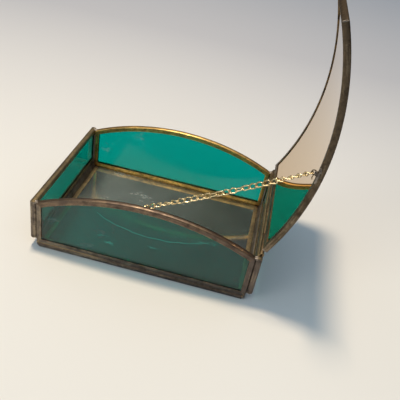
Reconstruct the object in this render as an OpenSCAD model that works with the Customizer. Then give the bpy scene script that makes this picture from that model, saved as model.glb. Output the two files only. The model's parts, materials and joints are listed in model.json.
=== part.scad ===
// Glass casket box: four framed glass walls on a mirror floor, with an arched mirror lid that hangs on a tube hinge
// and is held open by a stay chain. Millimetres. X runs along the box with the hinge at +X, the front is at -Y, and
// Z points up from the plane that the box stands on. The lid is drawn open.

/* [Walls] */
// Length of the front and back walls over their cames
wall_len = 158; // [140:1:176]
// Width of the box over the outer faces of the front and back walls
box_w = 121; // [90:1:150]
// Height of the front and back walls at the crown of the arch
crown_h = 53.8; // [50:0.2:62]
// Outer radius of the arched top came
arch_r = 180.6; // [170:0.2:260]
// Height of the end walls' top edge above the shoulders of the arch
end_lift = 1.1; // [0:0.1:1.4]
// Height of the end walls' lower edge above the lower edge of the front wall
end_rise = 3.8; // [0:0.1:6]
// Distance that the floor frame stops short of each end of the front wall
floor_inset = 2; // [0:0.5:6]

/* [Came and glass] */
// Thickness of the brass sheet in the U-shaped came
came_t = 0.5; // [0.3:0.05:0.8]
// Depth of the came's legs over the glass
came_leg = 4; // [3:0.1:6]
// Thickness of the wall and lid panes
glass_t = 3; // [2:0.1:4]
// Thickness of the floor mirror
floor_glass_t = 2.4; // [1.8:0.1:4]
// Thickness of the silvered backing
silver_t = 0.1; // [0.05:0.01:0.2]
// Play between a pane's face and the came's leg
glass_play = 0.1; // [0.05:0.01:0.2]
// Play between a pane's edge and the came's web
edge_play = 0.2; // [0.1:0.05:0.5]
// Radius of the solder fillet in each corner of the walls
solder_r = 1.2; // [0.6:0.1:2]

/* [Lid] */
// Gap between the closed lid and the arches that it lies on
lid_gap = 0.4; // [0.3:0.05:0.8]
// Distance of the lid's sides inside the outer faces of the long walls
lid_inset = 2; // [1:0.1:3]
// Distance of the lid's free end inside the end of the wall
free_short = 0.8; // [0.6:0.1:2]
// Distance of the lid's hinged end inside the end of the wall
hinge_short = 2.8; // [2.4:0.1:4]
// Angle that the lid is open
open_a = 92; // [60:1:100]

/* [Hinge] */
// Outer radius of the hinge tube
knuckle_r = 1.7; // [1.5:0.05:2]
// Radius of the hinge pin
pin_r = 0.8; // [0.5:0.05:1]
// Radial play of the pin in the tube
pin_play = 0.05; // [0.02:0.01:0.1]
// Number of knuckles
knuckle_n = 5; // [3:2:9]
// Gap between neighbouring knuckles
knuckle_gap = 0.4; // [0.3:0.1:1]
// Distance of the hinge axis outside the inner face of the end wall
hinge_out = 2.7; // [2.4:0.1:2.9]
// Distance of each end of the hinge tube inside the faces of the box
tube_short = 3; // [1:0.5:10]
// Distance of each end of the pin inside the tube
pin_short = 2; // [1:0.5:4]
// Thickness of the lid's hinge leaves
leaf_t = 0.8; // [0.5:0.1:1]

/* [Stay chain] */
// Diameter of the chain's wire
link_wire = 0.84; // [0.6:0.02:0.9]
// Width of a link
link_w = 3.4; // [3:0.1:3.8]
// Wanted distance from link to link
link_pitch = 4.5; // [4.3:0.05:5]
// Slack between neighbouring links
link_slack = 0.26; // [0.2:0.01:0.4]
// Diameter of the wire of the two eyes
eye_wire = 0.7; // [0.5:0.05:0.8]
// Radius of the eyes to the middle of their wire
eye_r = 1.5; // [1.4:0.05:1.8]
// Place of the box eye along the wall, from the middle
eye_x = -1.5; // [-30:0.5:10]
// Depth of the box eye's centre below the crown of the arch
eye_drop = 2.2; // [2:0.1:4]
// Place of the lid eye round the lid, from its crown towards the hinge
eye_a = 3.6; // [1:0.1:8]
// Clearance between the chain and the inner face of the front wall
chain_gap = 0.4; // [0.3:0.05:1]

/* [Hidden] */
$fn = 96;

brass = "#8c6f42";
pale_brass = "#d9c08a";
teal = [0, 0.5, 0.44, 0.6];
silver = "#b9bcb8";

// Came widths over both legs
came_w = glass_t + 2 * glass_play + 2 * came_t;
floor_w = floor_glass_t + 2 * glass_play + 2 * came_t;
play = came_t + edge_play;
over = 1;
// Gap between the bent mirror and its silvering, so that the two round faces stay apart
silver_gap = 0.01;

// Long walls stand on the floor frame
half_len = wall_len / 2;
arch_drop = arch_r - sqrt(arch_r * arch_r - half_len * half_len);
shoulder_h = crown_h - arch_drop;
inner_r = arch_r - came_leg;
inner_x = half_len - came_leg;
// Height from the shoulder down to the corner of the frame's opening
shoulder_cut = shoulder_h - (crown_h - arch_r + sqrt(inner_r * inner_r - inner_x * inner_x));
floor_len = wall_len - 2 * floor_inset;
arc_z = floor_w + crown_h - arch_r;
in_y = box_w / 2 - came_w;

// End walls stand against the ends of the long walls
end_z = floor_w + end_rise;
end_top = floor_w + shoulder_h + end_lift;
end_h = end_top - end_z;

// Lid, as it lies closed: angles are measured from the crown
lid_r = arch_r + lid_gap;
free_a = asin((half_len - free_short) / lid_r);
hinge_a = asin((half_len - hinge_short) / lid_r);
lid_w = box_w - 2 * lid_inset;

// Hinge
axis_x = half_len + hinge_out;
axis_z = end_top + knuckle_r;
tube_len = box_w - 2 * tube_short;
knuckle_len = (tube_len - (knuckle_n - 1) * knuckle_gap) / knuckle_n;
bore_r = pin_r + pin_play;
foot_w = 2.4;

// Stay chain: it hangs in one plane, just clear of the front wall
chain_y = -in_y + chain_gap + link_w / 2;
box_eye = [eye_x, floor_w + crown_h - eye_drop];
eye_seat = 0.15;
lid_eye_r = lid_r - eye_r - eye_wire / 2 - eye_seat;
lid_eye = opened([lid_eye_r * sin(eye_a), arc_z + lid_eye_r * cos(eye_a)]);
span = lid_eye - box_eye;
span_a = atan2(span[1], span[0]);
link_r = link_wire / 2;
eye_play = 0.2;
first_tip = eye_r - eye_wire / 2 - link_r - eye_play;
// Rise and fall of the hanging chain's ends from its chord, in degrees
bow = 1.4;
hung_len = norm(span) / cos(bow) - 2 * first_tip;
// An odd number of links, so that the first and the last both stand across the eyes
link_n = 2 * round((hung_len / link_pitch - 1) / 2) + 1;
tip_over = link_slack + link_wire;
pitch = (hung_len - tip_over) / link_n;
// Length of a link, and radius of its bends, to the middle of the wire
tip_len = pitch + tip_over;
bend_r = link_w / 2 - link_r;

// The chain folds in five runs: two long ones, and a short middle with one link on each side
lid_run_n = 10;
middle_n = 3;
box_run_n = link_n - lid_run_n - middle_n - 2;
long_len = first_tip + box_run_n * pitch;
middle_len = (middle_n + 1) * pitch - tip_len;
run_a = [for (k = [-1, -1 / 3, 0, 1 / 3, 1]) span_a + k * bow];
fold_1 = box_eye + long_len * dir(run_a[0]);
fold_2 = fold_1 + tip_len * dir(run_a[1]);
fold_3 = fold_2 + middle_len * dir(run_a[2]);

function dir(a) = [cos(a), sin(a)];

// A point of the closed lid, [x, z], turned about the hinge axis to the open lid
function opened(p) = let (d = p - [axis_x, axis_z])
    [axis_x + d[0] * cos(open_a) + d[1] * sin(open_a), axis_z - d[0] * sin(open_a) + d[1] * cos(open_a)];

// The middle of the walls along X, which puts the origin under the middle of the open casket
lid_reach = opened([0, arc_z])[0] + lid_r + came_w;
box_x = round(5 * (half_len + came_w - lid_reach)) / 10;
module in_place() translate([box_x, 0, 0]) children();

// Outlines in the plane of a wall, set in from its edge
module arch_outline(inset) {
    intersection() {
        translate([-half_len + inset, inset]) square([wall_len - 2 * inset, crown_h]);
        translate([0, crown_h - arch_r]) circle(arch_r - inset, $fn = 360);
    }
}
module plain_outline(len, height, inset) {
    translate([-len / 2 + inset, inset]) square([len - 2 * inset, height - 2 * inset]);
}

// A straight strip of U-shaped came: it lies along X with its web at the bottom, and is mitred at both ends
module straight_strip(len, width, end_cut = came_leg) {
    color(brass) difference() {
        linear_extrude(width) polygon([[0, 0], [len, 0], [len - end_cut, came_leg], [came_leg, came_leg]]);
        translate([-over, came_t, came_t]) cube([len + 2 * over, came_leg, width - 2 * came_t]);
    }
}
// The strips of a frame, each in its place in the wall's plane
module bottom_strip(len, width) translate([-len / 2, 0, 0]) straight_strip(len, width);
module top_strip(len, height, width) {
    translate([0, height, 0]) mirror([0, 1, 0]) bottom_strip(len, width);
}
module left_strip(len, height, width, end_cut = came_leg) {
    translate([-len / 2, 0, 0]) rotate([0, 0, 90]) mirror([0, 1, 0]) straight_strip(height, width, end_cut);
}
module right_strip(len, height, width, end_cut = came_leg) {
    mirror([1, 0, 0]) left_strip(len, height, width, end_cut);
}
// The arched strip is swept round the arc, past both ends, and then cut to the mitres
module arched_strip() {
    sweep = 2 * asin(half_len / arch_r) + 2 * arc_deg(over, arch_r);
    low = arch_r - came_leg;
    web = arch_r - came_t;
    color(brass) difference() {
        translate([0, crown_h - arch_r, 0]) rotate([0, 0, 90 - sweep / 2])
            rotate_extrude(angle = sweep, $fn = 360)
            polygon([[low, 0], [arch_r, 0], [arch_r, came_w], [low, came_w], [low, came_w - came_t],
                [web, came_w - came_t], [web, came_t], [low, came_t]]);
        for (side = [0, 1]) mirror([side, 0, 0]) below_shoulder();
    }
}
module below_shoulder() {
    outer = [half_len, shoulder_h];
    slope = [came_leg, shoulder_cut];
    low = outer - 1.25 * slope;
    high = outer + 0.6 * slope;
    bottom = low[1] - came_leg;
    translate([0, 0, -over]) linear_extrude(came_w + 2 * over)
        polygon([low, high, [high[0], bottom], [low[0], bottom]]);
}
module pane(thickness, tint) {
    color(tint) translate([0, 0, came_t + glass_play]) linear_extrude(thickness) children();
}

// Places of the four walls and the floor
module at_front() translate([0, -in_y, floor_w]) rotate([90, 0, 0]) children();
module at_back() translate([0, box_w / 2, floor_w]) rotate([90, 0, 0]) children();
module at_left() translate([-half_len - came_w, 0, end_z]) rotate([90, 0, 90]) children();
module at_right() translate([half_len, 0, end_z]) rotate([90, 0, 90]) children();
module at_floor() translate([0, -box_w / 2, 0]) children();

module arch_pane() pane(glass_t, teal) arch_outline(play);
module end_pane() pane(glass_t, teal) plain_outline(box_w, end_h, play);

module front_pane() at_front() arch_pane();
module front_came_top() at_front() arched_strip();
module front_came_bottom() at_front() bottom_strip(wall_len, came_w);
module front_came_left() at_front() left_strip(wall_len, shoulder_h, came_w, shoulder_cut);
module front_came_right() at_front() right_strip(wall_len, shoulder_h, came_w, shoulder_cut);

module back_pane() at_back() arch_pane();
module back_came_top() at_back() arched_strip();
module back_came_bottom() at_back() bottom_strip(wall_len, came_w);
module back_came_left() at_back() left_strip(wall_len, shoulder_h, came_w, shoulder_cut);
module back_came_right() at_back() right_strip(wall_len, shoulder_h, came_w, shoulder_cut);

module left_pane() at_left() end_pane();
module left_came_top() at_left() top_strip(box_w, end_h, came_w);
module left_came_bottom() at_left() bottom_strip(box_w, came_w);
module left_came_front() at_left() left_strip(box_w, end_h, came_w);
module left_came_back() at_left() right_strip(box_w, end_h, came_w);

module right_pane() at_right() end_pane();
module right_came_top() at_right() top_strip(box_w, end_h, came_w);
module right_came_bottom() at_right() bottom_strip(box_w, came_w);
module right_came_front() at_right() left_strip(box_w, end_h, came_w);
module right_came_back() at_right() right_strip(box_w, end_h, came_w);

module floor_mirror() {
    at_floor() pane(floor_glass_t, silver) plain_outline(floor_len, box_w, play);
}
// The silvering stays inside the came's legs
module floor_silvering() {
    edge = came_leg + edge_play;
    color("#3c4440") at_floor() translate([0, 0, came_t + glass_play - silver_t]) linear_extrude(silver_t)
        plain_outline(floor_len, box_w, edge);
}
module floor_came_front() at_floor() bottom_strip(floor_len, floor_w);
module floor_came_back() at_floor() top_strip(floor_len, box_w, floor_w);
module floor_came_left() at_floor() left_strip(floor_len, box_w, floor_w);
module floor_came_right() at_floor() right_strip(floor_len, box_w, floor_w);

// A quarter-round fillet of solder up each inner corner of the walls
module corner_solder() {
    color("#8f8a80") for (x = [-1, 1], y = [-1, 1])
        translate([x * half_len, y * in_y, end_z]) linear_extrude(shoulder_h - end_rise - came_leg) intersection() {
            circle(solder_r);
            translate([x > 0 ? -solder_r : 0, y > 0 ? -solder_r : 0]) square(solder_r);
        }
}

// Lid parts are drawn closed, about the axis of the arches, and then turned open
module open_lid() {
    translate([axis_x, 0, axis_z]) rotate([0, open_a, 0]) translate([-axis_x, 0, -axis_z]) children();
}
function arc_deg(len, r = lid_r) = len / r * 180 / PI;
module band(r_in, r_out, from_a, to_a, from_y, to_y) {
    reach = 1.5 * r_out;
    translate([0, to_y, arc_z]) rotate([90, 0, 0]) linear_extrude(to_y - from_y) intersection() {
        difference() {
            circle(r_out, $fn = 360);
            circle(r_in, $fn = 360);
        }
        polygon([[0, 0], reach * [sin(from_a), cos(from_a)], reach * [sin(to_a), cos(to_a)]]);
    }
}
module lid_band(inset, r_inset) {
    half = lid_w / 2 - inset;
    band(lid_r + r_inset, lid_r + came_w - r_inset, -free_a + arc_deg(inset), hinge_a - arc_deg(inset), -half, half);
}
// Frame of one end of the lid, with its X pointing inwards and its Y along the hinge
module at_lid_end(at_hinge) {
    translate([0, 0, arc_z]) rotate([0, at_hinge ? hinge_a : -free_a, 0]) translate([0, 0, lid_r - over])
        mirror([at_hinge ? 1 : 0, 0, 0]) children();
}
// The U-shaped came along a side of the lid is swept round the arc, past both ends, and then cut to the mitres
module side_came(y_side) {
    low = lid_r + came_t;
    high = lid_r + came_w - came_t;
    spare = arc_deg(over);
    color(brass) open_lid() difference() {
        translate([0, 0, arc_z]) rotate([-90, 0, 0]) rotate([0, 0, -90 - free_a - spare])
            rotate_extrude(angle = free_a + hinge_a + 2 * spare, $fn = 360)
            polygon([for (p = [[lid_r, 0], [lid_r + came_w, 0], [lid_r + came_w, came_leg], [high, came_leg],
                [high, came_t], [low, came_t], [low, came_leg], [lid_r, came_leg]])
                [p[0], y_side * (lid_w / 2 - p[1])]]);
        for (at_hinge = [false, true]) at_lid_end(at_hinge) outside_mitre(y_side);
    }
}
module outside_mitre(y_side) {
    far = 2 * over;
    past = came_leg + over;
    linear_extrude(came_w + 2 * over) polygon([for (p = [[-far, -far], [past, past], [-far, past]])
        [p[0], y_side * (lid_w / 2 - p[1])]]);
}
module end_came(at_hinge) {
    i = lid_w / 2 - came_leg;
    o = lid_w / 2;
    color(brass) open_lid() difference() {
        intersection() {
            lid_band(0, 0);
            at_lid_end(at_hinge) linear_extrude(came_w + 2 * over)
                polygon([[-over, -o - over], [0, -o], [came_leg, -i], [came_leg, i], [0, o], [-over, o + over]]);
        }
        lid_band(came_t, came_t);
    }
}
module lid_mirror() {
    color([0.75, 0.6, 0.4]) open_lid() lid_band(play, came_t + glass_play);
}
module lid_silvering() {
    face = lid_r + came_w - came_t - glass_play + silver_gap;
    edge = came_leg + edge_play;
    half = lid_w / 2 - edge;
    color(silver) open_lid()
        band(face, face + silver_t, -free_a + arc_deg(edge), hinge_a - arc_deg(edge), -half, half);
}
module lid_came_front() side_came(-1);
module lid_came_back() side_came(1);
module lid_came_free() end_came(false);
module lid_came_hinge() end_came(true);

// Knuckle number k of the hinge tube, and its bore
module knuckle_place(k) {
    translate([axis_x, -tube_len / 2 + k * (knuckle_len + knuckle_gap), axis_z]) children();
}
module along_y(len, r) rotate([-90, 0, 0]) cylinder(len, r, r);
module bore() translate([0, -over, 0]) along_y(knuckle_len + 2 * over, bore_r);
module hinge_knuckles_box() {
    color(brass) for (k = [0 : 2 : knuckle_n - 1]) knuckle_place(k) difference() {
        union() {
            along_y(knuckle_len, knuckle_r);
            translate([-foot_w / 2, 0, -knuckle_r]) cube([foot_w, knuckle_len, knuckle_r]);
        }
        bore();
    }
}
// Each lid knuckle has a leaf that reaches to the web of the lid's end came
module hinge_knuckles_lid() {
    reach = hinge_short + hinge_out + came_w;
    color(brass) open_lid() for (k = [1 : 2 : knuckle_n - 2]) difference() {
        knuckle_place(k) union() {
            along_y(knuckle_len, knuckle_r);
            translate([-reach, 0, knuckle_r - leaf_t]) cube([reach, knuckle_len, leaf_t]);
        }
        knuckle_place(k) bore();
        at_lid_end(true) translate([0, -box_w / 2, -2 * over]) cube([2 * reach, box_w, came_w + 6 * over]);
    }
}
module hinge_pin() {
    color(brass) translate([axis_x, -tube_len / 2 + pin_short, axis_z]) along_y(tube_len - 2 * pin_short, pin_r);
}

// A wire eye whose hole lies along Y
module eye() rotate([90, 0, 0]) rotate_extrude() translate([eye_r, 0]) circle(eye_wire / 2, $fn = 24);
// The box eye stands on a post, on the side that the chain never sweeps over
module stay_eye_box() {
    post_a = 146;
    post_r = 0.7;
    color(pale_brass) translate([box_eye[0], chain_y, box_eye[1]]) {
        eye();
        translate([eye_r * cos(post_a), -in_y - chain_y, eye_r * sin(post_a)]) along_y(chain_y + in_y, post_r);
    }
}
// The lid eye stands on a lug that is soldered to the leg of the lid's front came
module stay_eye_lid() {
    lug_w = 2.4;
    lug_from = -in_y + 0.5;
    lug_low = lid_eye_r + eye_r - eye_wire / 4;
    lug_high = sqrt(lid_r * lid_r - lug_w * lug_w / 4);
    color(pale_brass) open_lid() translate([0, 0, arc_z]) rotate([0, eye_a, 0]) {
        translate([0, chain_y, lid_eye_r]) eye();
        translate([-lug_w / 2, lug_from, lug_low])
            cube([lug_w, chain_y + eye_wire - lug_from, lug_high - lug_low]);
    }
}

// A link lies along X, with its width along Y. Its straight wires are a round length, so that they meet the bends
module chain_link() {
    straight = round(50 * (tip_len - 2 * bend_r)) / 50;
    for (turn = [0, 180]) rotate([0, 0, turn]) translate([straight / 2, 0, 0]) rotate([0, 0, -90])
        rotate_extrude(angle = 180) translate([bend_r, 0]) circle(link_r, $fn = 24);
    for (side = [-1, 1]) translate([-straight / 2, side * bend_r, 0]) rotate([0, 90, 0])
        cylinder(straight, link_r, link_r, $fn = 24);
}
// Links first to last, counted from an eye, as a straight run from a point in a direction
module chain_run(from, a, first, last, start) {
    color(pale_brass) translate([from[0], chain_y, from[1]]) rotate([0, -a, 0]) for (j = [first : last])
        translate([first_tip + tip_len / 2 + j * pitch - start, 0, 0])
            rotate([j % 2 == 0 ? 0 : 90, 0, 0]) chain_link();
}
module stay_chain_box_run() chain_run(box_eye, run_a[0], 0, box_run_n - 1, 0);
module stay_chain_box_turn() chain_run(fold_1, run_a[1], box_run_n, box_run_n, long_len);
module stay_chain_middle() {
    chain_run(fold_2, run_a[2], box_run_n + 1, box_run_n + middle_n, long_len + tip_len);
}
module stay_chain_lid_turn() {
    last = box_run_n + middle_n + 1;
    chain_run(fold_3, run_a[3], last, last, first_tip + last * pitch);
}
// The link at the open joint, next to the lid turn, is left out for clearance
module stay_chain_lid_run() chain_run(lid_eye, run_a[4] + 180, 0, lid_run_n - 2, 0);

in_place() front_pane();
in_place() front_came_top();
in_place() front_came_bottom();
in_place() front_came_left();
in_place() front_came_right();
in_place() back_pane();
in_place() back_came_top();
in_place() back_came_bottom();
in_place() back_came_left();
in_place() back_came_right();
in_place() left_pane();
in_place() left_came_top();
in_place() left_came_bottom();
in_place() left_came_front();
in_place() left_came_back();
in_place() right_pane();
in_place() right_came_top();
in_place() right_came_bottom();
in_place() right_came_front();
in_place() right_came_back();
in_place() floor_mirror();
in_place() floor_silvering();
in_place() floor_came_front();
in_place() floor_came_back();
in_place() floor_came_left();
in_place() floor_came_right();
in_place() corner_solder();
in_place() lid_mirror();
in_place() lid_silvering();
in_place() lid_came_front();
in_place() lid_came_back();
in_place() lid_came_free();
in_place() lid_came_hinge();
in_place() hinge_knuckles_box();
in_place() hinge_knuckles_lid();
in_place() hinge_pin();
in_place() stay_eye_box();
in_place() stay_eye_lid();
in_place() stay_chain_box_run();
in_place() stay_chain_box_turn();
in_place() stay_chain_middle();
in_place() stay_chain_lid_turn();
in_place() stay_chain_lid_run();
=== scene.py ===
"""The finish of a small glass casket: brass came, teal panes, two mirrors, a tube hinge and a curb chain.
Everything is in metres, with +X towards the hinge, the front wall at -Y and the lid drawn open."""
import json
import math

import bmesh
import bpy
from mathutils import Matrix, Vector, noise


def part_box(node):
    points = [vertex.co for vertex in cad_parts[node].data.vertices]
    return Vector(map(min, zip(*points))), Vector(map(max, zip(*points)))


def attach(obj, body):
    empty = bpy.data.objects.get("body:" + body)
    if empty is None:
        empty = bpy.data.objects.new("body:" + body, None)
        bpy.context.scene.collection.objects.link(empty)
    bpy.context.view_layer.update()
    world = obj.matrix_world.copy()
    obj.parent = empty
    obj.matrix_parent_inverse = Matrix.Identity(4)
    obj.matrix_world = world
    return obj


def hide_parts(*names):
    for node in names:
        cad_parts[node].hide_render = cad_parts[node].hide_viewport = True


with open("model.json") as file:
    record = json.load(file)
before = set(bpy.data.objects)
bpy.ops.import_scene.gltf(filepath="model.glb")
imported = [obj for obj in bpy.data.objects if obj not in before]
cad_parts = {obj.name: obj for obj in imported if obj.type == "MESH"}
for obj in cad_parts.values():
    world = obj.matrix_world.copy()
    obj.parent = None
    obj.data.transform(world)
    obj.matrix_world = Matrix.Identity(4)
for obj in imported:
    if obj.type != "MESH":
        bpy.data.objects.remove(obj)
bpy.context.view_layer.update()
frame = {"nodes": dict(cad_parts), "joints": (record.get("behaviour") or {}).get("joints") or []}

MM = 0.001
X = Vector((1, 0, 0))
Y = Vector((0, 1, 0))
Z = Vector((0, 0, 1))


# ---------------------------------------------------------------- sizes
# Pieces are modelled about the middle of the four walls, and HOME sets them down in their place.

long_low, long_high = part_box("front_came_bottom")
BOX_X = (long_low.x + long_high.x) / 2
HOME = Matrix.Translation((BOX_X, 0, 0))


def corners(node):
    """Lowest and highest corner of a frame node, from the middle of the walls."""
    low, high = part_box(node)
    return low - BOX_X * X, high - BOX_X * X


# Brass came: its sheet, the depth of its legs, and how its web is bowed and its edges are rounded
CAME_T = 0.5 * MM
CAME_LEG = 4 * MM
EDGE_ROUND = 0.45 * MM
DOME = 0.55 * MM
DOME_ROWS = 6
LEG_ROUND = 0.2 * MM
ARCH_SPARE = 1.2 * MM
LID_SPARE = 1.5 * MM
ARCH_STEPS = 64
LID_STEPS = 72

# Long walls
HALF_LEN = corners("front_came_bottom")[1].x
OUT_Y = -corners("front_came_bottom")[0].y
IN_Y = -corners("front_came_bottom")[1].y
WALL_Z = corners("front_came_bottom")[0].z
CAME_W = OUT_Y - IN_Y
SHOULDER_Z = corners("front_came_left")[1].z
ARCH_R = 180.6 * MM
ARC_Z = SHOULDER_Z - math.sqrt(ARCH_R ** 2 - HALF_LEN ** 2)
LEG_R = ARCH_R - CAME_LEG
OPENING_Z = ARC_Z + math.sqrt(LEG_R ** 2 - (HALF_LEN - CAME_LEG) ** 2)
SHOULDER_CUT = SHOULDER_Z - OPENING_Z

# End walls and floor
END_Z = corners("left_came_front")[0].z
END_TOP = corners("left_came_front")[1].z
FLOOR_HALF = corners("floor_came_front")[1].x
FLOOR_W = corners("floor_came_front")[1].z

# Lid, as it lies closed, and the turn that opens it. It stops a little short of both ends of the walls.
LID_GAP = 0.4 * MM
LID_R = ARCH_R + LID_GAP
FREE_SHORT = 0.8 * MM
HINGE_SHORT = 2.8 * MM
FREE_A = -math.asin((HALF_LEN - FREE_SHORT) / LID_R)
HINGE_A = math.asin((HALF_LEN - HINGE_SHORT) / LID_R)
LID_Y = corners("lid_came_free")[1].y
LID_OUT_R = LID_R + CAME_W
GLASS_EDGE = CAME_T + 0.2 * MM
GLASS_FACE = CAME_T + 0.1 * MM
SILVER_EDGE = CAME_LEG + 0.2 * MM
SILVER_T = 0.1 * MM
SILVER_GAP = 0.01 * MM
SHEET_STEPS = 180
joints = {joint["name"]: joint for joint in frame["joints"]}


def joint_place(name):
    return Vector(joints[name]["pos_m"]) - BOX_X * X


HINGE = joint_place("lid_hinge")
OPEN_ANGLE = math.radians(-joints["lid_hinge"]["range_deg"][0])
OPEN = Matrix.Translation(HINGE) @ Matrix.Rotation(OPEN_ANGLE, 4, "Y") @ Matrix.Translation(-HINGE)
LID_HOME = HOME @ OPEN

# Hinge
KNUCKLE_R = 1.7 * MM
BORE_R = 0.85 * MM
KNUCKLE_N = 5
KNUCKLE_GAP = 0.4 * MM
TUBE_LEN = corners("hinge_knuckles_box")[1].y - corners("hinge_knuckles_box")[0].y
KNUCKLE_LEN = (TUBE_LEN - (KNUCKLE_N - 1) * KNUCKLE_GAP) / KNUCKLE_N
FOOT_W = 2.4 * MM
LEAF_T = 0.8 * MM
PLATE_SHORT = 0.3 * MM

# Stay chain
BOX_RUN_N = 10
LID_RUN_N = 10
LINK_WIRE = 0.88 * MM
LINK_W = 4.1 * MM
LINK_LEN = 5.58273 * MM
PITCH = 4.48273 * MM
FIRST_TIP = 0.53 * MM
# How far the chain is turned about its own length, in degrees, at the places where its links hook,
# counted from the box eye. Each link's own quarter twist comes on top of it.
CHAIN_TURN = (
    (0, 90), (3, 20), (7, -85), (10, -90), (11, -180), (12, -255), (13, -255), (14, -270), (15, -360),
    (16, -435), (18, -437), (22, -524), (25, -540))

# Eyes: where the lid's eye sits round the arc, how both wire rings are turned, and where the box eye's
# post meets its ring
EYE_R = 1.5 * MM
EYE_WIRE = 0.7 * MM
EYE_A = math.radians(3.6)
BOX_RING_TURN = math.radians(140)
LID_RING_TURN = math.radians(100)
BOX_POST_A = math.radians(146)
SMEAR_STEP = 1.15 * MM


# ---------------------------------------------------------------- modelling helpers

def deselect():
    bpy.ops.object.select_all(action="DESELECT")


def activate(piece):
    deselect()
    bpy.context.view_layer.objects.active = piece
    piece.select_set(True)


def adopt(name):
    """Names the primitive that was just added."""
    piece = bpy.context.object
    piece.name = name
    piece.data.name = name
    bpy.ops.object.transform_apply(location=True, rotation=True, scale=True)
    return piece


def edit(piece, kind):
    """Starts editing a piece in VERT, EDGE or FACE mode, with nothing selected."""
    activate(piece)
    bpy.ops.object.mode_set(mode="EDIT")
    bpy.ops.mesh.select_mode(type=kind)
    bpy.ops.mesh.select_all(action="DESELECT")


def done():
    bpy.ops.object.mode_set(mode="OBJECT")
    deselect()


def pick(piece, kind, test):
    """Starts editing with the vertices, edges or faces that pass the test selected."""
    edit(piece, kind)
    shape = bmesh.from_edit_mesh(piece.data)
    shape.normal_update()
    items = {"VERT": shape.verts, "EDGE": shape.edges, "FACE": shape.faces}[kind]
    for item in items:
        if test(item):
            item.select_set(True)
    shape.select_flush_mode()
    bmesh.update_edit_mesh(piece.data)


def near(a, b):
    return abs(a - b) < 0.02 * MM


def middle(edge):
    return (edge.verts[0].co + edge.verts[1].co) / 2


def runs(edge, axis):
    """True if the edge runs along the axis."""
    along = edge.verts[1].co - edge.verts[0].co
    return abs(along.dot(axis)) > 0.99 * along.length


def put(piece, matrix):
    """Moves a piece to its place and writes the place into its mesh."""
    activate(piece)
    piece.matrix_world = matrix
    bpy.ops.object.transform_apply(location=True, rotation=True, scale=True)


def copy_of(piece, name):
    twin = piece.copy()
    twin.data = piece.data.copy()
    twin.name = name
    twin.data.name = name
    bpy.context.scene.collection.objects.link(twin)
    return twin


def join(name, parts):
    activate(parts[0])
    for part in parts:
        part.select_set(True)
    if len(parts) > 1:
        bpy.ops.object.join()
    parts[0].name = name
    parts[0].data.name = name
    return parts[0]


def smooth(piece, angle=40):
    activate(piece)
    bpy.ops.object.shade_smooth_by_angle(angle=math.radians(angle))


def close_up(piece):
    """Merges doubled vertices and turns all faces outwards."""
    edit(piece, "VERT")
    bpy.ops.mesh.select_all(action="SELECT")
    bpy.ops.mesh.remove_doubles(threshold=0.001 * MM)
    bpy.ops.mesh.normals_make_consistent(inside=False)
    done()


def finish_piece(piece, body, material, stands_for=()):
    """Gives a finished piece its material, its body and the frame nodes it stands for."""
    piece.data.materials.clear()
    piece.data.materials.append(material)
    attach(piece, body)
    if stands_for:
        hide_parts(*stands_for)


# ---------------------------------------------------------------- material helpers

def colour(r, g, b):
    return (r, g, b, 1.0)


def new_group(name, inputs, outputs):
    """An empty shader node group. inputs are (name, kind, value) and outputs are (name, kind)."""
    group = bpy.data.node_groups.new(name, "ShaderNodeTree")
    for label, kind, value in inputs:
        socket = group.interface.new_socket(name=label, in_out="INPUT", socket_type="NodeSocket" + kind)
        socket.default_value = value
    for label, kind in outputs:
        group.interface.new_socket(name=label, in_out="OUTPUT", socket_type="NodeSocket" + kind)
    given = group.nodes.new("NodeGroupInput").outputs
    out = group.nodes.new("NodeGroupOutput").inputs
    return group, given, out


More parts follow.
